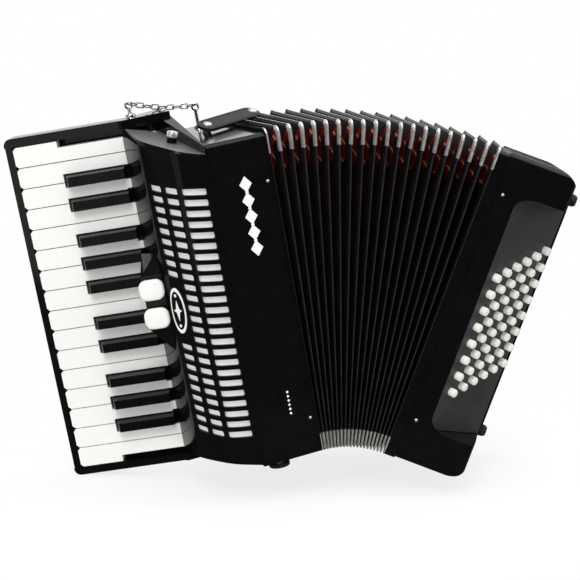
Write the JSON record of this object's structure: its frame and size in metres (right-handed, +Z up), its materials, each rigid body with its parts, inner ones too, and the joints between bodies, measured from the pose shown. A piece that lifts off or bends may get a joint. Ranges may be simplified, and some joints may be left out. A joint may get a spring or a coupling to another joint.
{
  "type": "piano accordion",
  "caption": "Piano accordion with its bellows fanned open, black casings, piano keyboard, slotted grille, register switches and a sloped bass button board.",
  "frame": {"origin": "under the middle of the whole instrument, at the height of its lowest corner", "axes": "+X from the keyboard towards the bass side, +Y from the front face to the back, +Z up, as the fanned instrument stands on its two outer corners"},
  "size_m": [0.5642, 0.2534, 0.3745],
  "materials": {
    "gloss_black": "high gloss celluloid",
    "satin_grey": "satin",
    "white_plastic": "gloss",
    "ivory": "gloss",
    "chrome": "polished",
    "silver_cloth": "metallic weave",
    "wood": "bare wood",
    "leather": "black leather",
    "bellows_card": "cloth-covered card",
    "rubber": "matt"
  },
  "bodies": {
    "treble_half": {"treble_casing": "gloss_black", "pallet_board": "wood", "treble_reed_block": "wood", "treble_bellows_frame": "gloss_black", "grille": "gloss_black", "grille_cloth": "silver_cloth", "keyboard_frame": "gloss_black", "key_axle": "chrome", "register_housing": "gloss_black", "strap_post_left": "chrome", "strap_post_right": "chrome", "strap_chain": "chrome", "grille_screw_top": "chrome", "bellows": "bellows_card"},
    "bass_half": {"bass_casing": "gloss_black", "bass_bellows_frame": "gloss_black", "bass_reed_block": "wood", "button_board": "satin_grey", "bass_end_plate": "gloss_black", "hand_strap": "leather", "foot_upper": "rubber", "foot_lower": "rubber"},
    "white_key_01": {"white_key_01": "white_plastic"},
    "white_key_02": {"white_key_02": "white_plastic"},
    "white_key_03": {"white_key_03": "white_plastic"},
    "white_key_04": {"white_key_04": "white_plastic"},
    "white_key_05": {"white_key_05": "white_plastic"},
    "white_key_06": {"white_key_06": "white_plastic"},
    "white_key_07": {"white_key_07": "white_plastic"},
    "white_key_08": {"white_key_08": "white_plastic"},
    "white_key_09": {"white_key_09": "white_plastic"},
    "white_key_10": {"white_key_10": "white_plastic"},
    "white_key_11": {"white_key_11": "white_plastic"},
    "white_key_12": {"white_key_12": "white_plastic"},
    "white_key_13": {"white_key_13": "white_plastic"},
    "white_key_14": {"white_key_14": "white_plastic"},
    "white_key_15": {"white_key_15": "white_plastic"},
    "white_key_16": {"white_key_16": "white_plastic"},
    "black_key_01": {"black_key_01": "gloss_black"},
    "black_key_02": {"black_key_02": "gloss_black"},
    "black_key_03": {"black_key_03": "gloss_black"},
    "black_key_04": {"black_key_04": "gloss_black"},
    "black_key_05": {"black_key_05": "gloss_black"},
    "black_key_06": {"black_key_06": "gloss_black"},
    "black_key_07": {"black_key_07": "gloss_black"},
    "black_key_08": {"black_key_08": "gloss_black"},
    "black_key_09": {"black_key_09": "gloss_black"},
    "black_key_10": {"black_key_10": "gloss_black"},
    "bass_button_row_1": {"bass_button_row_1": "ivory"},
    "bass_button_row_2": {"bass_button_row_2": "ivory"},
    "bass_button_row_3": {"bass_button_row_3": "ivory"},
    "bass_button_row_4": {"bass_button_row_4": "ivory"},
    "bass_button_row_5": {"bass_button_row_5": "ivory"},
    "bass_button_row_6": {"bass_button_row_6": "ivory"},
    "register_switch_1": {"register_switch_1": "white_plastic"},
    "register_switch_2": {"register_switch_2": "white_plastic"},
    "closing_strap_top": {"closing_strap_top": "leather"},
    "closing_strap_bottom": {"closing_strap_bottom": "leather"},
    "air_button": {"air_button": "gloss_black"},
    "strap_wheel": {"strap_wheel": "satin_grey"}
  },
  "joints": [
    {"name": "bellows_fan", "type": "hinge", "parent": "treble_half", "child": "bass_half", "pos_m": [0.01867, -0.04976, 0.05231], "axis": [0.1174, 0.7649, -0.6333], "range_deg": [-39.2, 6], "deforming": ["bellows"]},
    {"name": "white_key_01_press", "type": "hinge", "parent": "treble_half", "child": "white_key_01", "pos_m": [-0.1204, 0.05974, 0.19165], "axis": [0.1822, 0, -0.9833], "range_deg": [0, 1.8], "stiffness_Nm_per_rad": 1, "springref_deg": -3.44},
    {"name": "white_key_02_press", "type": "hinge", "parent": "treble_half", "child": "white_key_02", "pos_m": [-0.1204, 0.05974, 0.19165], "axis": [0.1822, 0, -0.9833], "range_deg": [0, 1.8], "stiffness_Nm_per_rad": 1, "springref_deg": -3.44},
    {"name": "white_key_03_press", "type": "hinge", "parent": "treble_half", "child": "white_key_03", "pos_m": [-0.1204, 0.05974, 0.19165], "axis": [0.1822, 0, -0.9833], "range_deg": [0, 1.8], "stiffness_Nm_per_rad": 1, "springref_deg": -3.44},
    {"name": "white_key_04_press", "type": "hinge", "parent": "treble_half", "child": "white_key_04", "pos_m": [-0.1204, 0.05974, 0.19165], "axis": [0.1822, 0, -0.9833], "range_deg": [0, 1.8], "stiffness_Nm_per_rad": 1, "springref_deg": -3.44},
    {"name": "white_key_05_press", "type": "hinge", "parent": "treble_half", "child": "white_key_05", "pos_m": [-0.1204, 0.05974, 0.19165], "axis": [0.1822, 0, -0.9833], "range_deg": [0, 1.8], "stiffness_Nm_per_rad": 1, "springref_deg": -3.44},
    {"name": "white_key_06_press", "type": "hinge", "parent": "treble_half", "child": "white_key_06", "pos_m": [-0.1204, 0.05974, 0.19165], "axis": [0.1822, 0, -0.9833], "range_deg": [0, 1.8], "stiffness_Nm_per_rad": 1, "springref_deg": -3.44},
    {"name": "white_key_07_press", "type": "hinge", "parent": "treble_half", "child": "white_key_07", "pos_m": [-0.1204, 0.05974, 0.19165], "axis": [0.1822, 0, -0.9833], "range_deg": [0, 1.8], "stiffness_Nm_per_rad": 1, "springref_deg": -3.44},
    {"name": "white_key_08_press", "type": "hinge", "parent": "treble_half", "child": "white_key_08", "pos_m": [-0.1204, 0.05974, 0.19165], "axis": [0.1822, 0, -0.9833], "range_deg": [0, 1.8], "stiffness_Nm_per_rad": 1, "springref_deg": -3.44},
    {"name": "white_key_09_press", "type": "hinge", "parent": "treble_half", "child": "white_key_09", "pos_m": [-0.1204, 0.05974, 0.19165], "axis": [0.1822, 0, -0.9833], "range_deg": [0, 1.8], "stiffness_Nm_per_rad": 1, "springref_deg": -3.44},
    {"name": "white_key_10_press", "type": "hinge", "parent": "treble_half", "child": "white_key_10", "pos_m": [-0.1204, 0.05974, 0.19165], "axis": [0.1822, 0, -0.9833], "range_deg": [0, 1.8], "stiffness_Nm_per_rad": 1, "springref_deg": -3.44},
    {"name": "white_key_11_press", "type": "hinge", "parent": "treble_half", "child": "white_key_11", "pos_m": [-0.1204, 0.05974, 0.19165], "axis": [0.1822, 0, -0.9833], "range_deg": [0, 1.8], "stiffness_Nm_per_rad": 1, "springref_deg": -3.44},
    {"name": "white_key_12_press", "type": "hinge", "parent": "treble_half", "child": "white_key_12", "pos_m": [-0.1204, 0.05974, 0.19165], "axis": [0.1822, 0, -0.9833], "range_deg": [0, 1.8], "stiffness_Nm_per_rad": 1, "springref_deg": -3.44},
    {"name": "white_key_13_press", "type": "hinge", "parent": "treble_half", "child": "white_key_13", "pos_m": [-0.1204, 0.05974, 0.19165], "axis": [0.1822, 0, -0.9833], "range_deg": [0, 1.8], "stiffness_Nm_per_rad": 1, "springref_deg": -3.44},
    {"name": "white_key_14_press", "type": "hinge", "parent": "treble_half", "child": "white_key_14", "pos_m": [-0.1204, 0.05974, 0.19165], "axis": [0.1822, 0, -0.9833], "range_deg": [0, 1.8], "stiffness_Nm_per_rad": 1, "springref_deg": -3.44},
    {"name": "white_key_15_press", "type": "hinge", "parent": "treble_half", "child": "white_key_15", "pos_m": [-0.1204, 0.05974, 0.19165], "axis": [0.1822, 0, -0.9833], "range_deg": [0, 1.8], "stiffness_Nm_per_rad": 1, "springref_deg": -3.44},
    {"name": "white_key_16_press", "type": "hinge", "parent": "treble_half", "child": "white_key_16", "pos_m": [-0.1204, 0.05974, 0.19165], "axis": [0.1822, 0, -0.9833], "range_deg": [0, 1.8], "stiffness_Nm_per_rad": 1, "springref_deg": -3.44},
    {"name": "black_key_01_press", "type": "hinge", "parent": "treble_half", "child": "black_key_01", "pos_m": [-0.1204, 0.05974, 0.19165], "axis": [0.1822, 0, -0.9833], "range_deg": [0, 1.8], "stiffness_Nm_per_rad": 1, "springref_deg": -3.44},
    {"name": "black_key_02_press", "type": "hinge", "parent": "treble_half", "child": "black_key_02", "pos_m": [-0.1204, 0.05974, 0.19165], "axis": [0.1822, 0, -0.9833], "range_deg": [0, 1.8], "stiffness_Nm_per_rad": 1, "springref_deg": -3.44},
    {"name": "black_key_03_press", "type": "hinge", "parent": "treble_half", "child": "black_key_03", "pos_m": [-0.1204, 0.05974, 0.19165], "axis": [0.1822, 0, -0.9833], "range_deg": [0, 1.8], "stiffness_Nm_per_rad": 1, "springref_deg": -3.44},
    {"name": "black_key_04_press", "type": "hinge", "parent": "treble_half", "child": "black_key_04", "pos_m": [-0.1204, 0.05974, 0.19165], "axis": [0.1822, 0, -0.9833], "range_deg": [0, 1.8], "stiffness_Nm_per_rad": 1, "springref_deg": -3.44},
    {"name": "black_key_05_press", "type": "hinge", "parent": "treble_half", "child": "black_key_05", "pos_m": [-0.1204, 0.05974, 0.19165], "axis": [0.1822, 0, -0.9833], "range_deg": [0, 1.8], "stiffness_Nm_per_rad": 1, "springref_deg": -3.44},
    {"name": "black_key_06_press", "type": "hinge", "parent": "treble_half", "child": "black_key_06", "pos_m": [-0.1204, 0.05974, 0.19165], "axis": [0.1822, 0, -0.9833], "range_deg": [0, 1.8], "stiffness_Nm_per_rad": 1, "springref_deg": -3.44},
    {"name": "black_key_07_press", "type": "hinge", "parent": "treble_half", "child": "black_key_07", "pos_m": [-0.1204, 0.05974, 0.19165], "axis": [0.1822, 0, -0.9833], "range_deg": [0, 1.8], "stiffness_Nm_per_rad": 1, "springref_deg": -3.44},
    {"name": "black_key_08_press", "type": "hinge", "parent": "treble_half", "child": "black_key_08", "pos_m": [-0.1204, 0.05974, 0.19165], "axis": [0.1822, 0, -0.9833], "range_deg": [0, 1.8], "stiffness_Nm_per_rad": 1, "springref_deg": -3.44},
    {"name": "black_key_09_press", "type": "hinge", "parent": "treble_half", "child": "black_key_09", "pos_m": [-0.1204, 0.05974, 0.19165], "axis": [0.1822, 0, -0.9833], "range_deg": [0, 1.8], "stiffness_Nm_per_rad": 1, "springref_deg": -3.44},
    {"name": "black_key_10_press", "type": "hinge", "parent": "treble_half", "child": "black_key_10", "pos_m": [-0.1204, 0.05974, 0.19165], "axis": [0.1822, 0, -0.9833], "range_deg": [0, 1.8], "stiffness_Nm_per_rad": 1, "springref_deg": -3.44},
    {"name": "register_switch_1_rock", "type": "hinge", "parent": "treble_half", "child": "register_switch_1", "pos_m": [-0.16467, -0.00098, 0.20353], "axis": [-0.1822, 0, 0.9833], "range_deg": [-6, 6]},
    {"name": "register_switch_2_rock", "type": "hinge", "parent": "treble_half", "child": "register_switch_2", "pos_m": [-0.15965, -0.00098, 0.17649], "axis": [-0.1822, 0, 0.9833], "range_deg": [-6, 6]},
    {"name": "closing_strap_top_swing", "type": "hinge", "parent": "treble_half", "child": "closing_strap_top", "pos_m": [-0.09912, 0.03974, 0.35119], "axis": [-0.1822, 0, 0.9833], "range_deg": [-95, 30]},
    {"name": "closing_strap_bottom_swing", "type": "hinge", "parent": "treble_half", "child": "closing_strap_bottom", "pos_m": [-0.05064, -0.03426, 0.03473], "axis": [-0.1822, 0, 0.9833], "range_deg": [-45, 4]},
    {"name": "bass_button_row_1_press", "type": "slide", "parent": "bass_half", "child": "bass_button_row_1", "axis": [-0.4001, 0.8842, 0.241], "range_m": [0, 0.0038], "stiffness_N_per_m": 400, "springref_m": -0.004},
    {"name": "bass_button_row_2_press", "type": "slide", "parent": "bass_half", "child": "bass_button_row_2", "axis": [-0.4001, 0.8842, 0.241], "range_m": [0, 0.0038], "stiffness_N_per_m": 400, "springref_m": -0.004},
    {"name": "bass_button_row_3_press", "type": "slide", "parent": "bass_half", "child": "bass_button_row_3", "axis": [-0.4001, 0.8842, 0.241], "range_m": [0, 0.0038], "stiffness_N_per_m": 400, "springref_m": -0.004},
    {"name": "bass_button_row_4_press", "type": "slide", "parent": "bass_half", "child": "bass_button_row_4", "axis": [-0.4001, 0.8842, 0.241], "range_m": [0, 0.0038], "stiffness_N_per_m": 400, "springref_m": -0.004},
    {"name": "bass_button_row_5_press", "type": "slide", "parent": "bass_half", "child": "bass_button_row_5", "axis": [-0.4001, 0.8842, 0.241], "range_m": [0, 0.0038], "stiffness_N_per_m": 400, "springref_m": -0.004},
    {"name": "bass_button_row_6_press", "type": "slide", "parent": "bass_half", "child": "bass_button_row_6", "axis": [-0.4001, 0.8842, 0.241], "range_m": [0, 0.0038], "stiffness_N_per_m": 400, "springref_m": -0.004},
    {"name": "air_button_press", "type": "slide", "parent": "bass_half", "child": "air_button", "axis": [-0.8483, 0.4088, 0.3366], "range_m": [0, 0.0038], "stiffness_N_per_m": 400, "springref_m": -0.004},
    {"name": "strap_wheel_turn", "type": "hinge", "parent": "bass_half", "child": "strap_wheel", "pos_m": [0.26284, 0.00173, 0.25649], "axis": [0.8483, -0.4088, -0.3366], "continuous": true}
  ],
  "couplings": [
    {"joint": "register_switch_2_rock", "follows": "register_switch_1_rock", "ratio": -1}
  ]
}
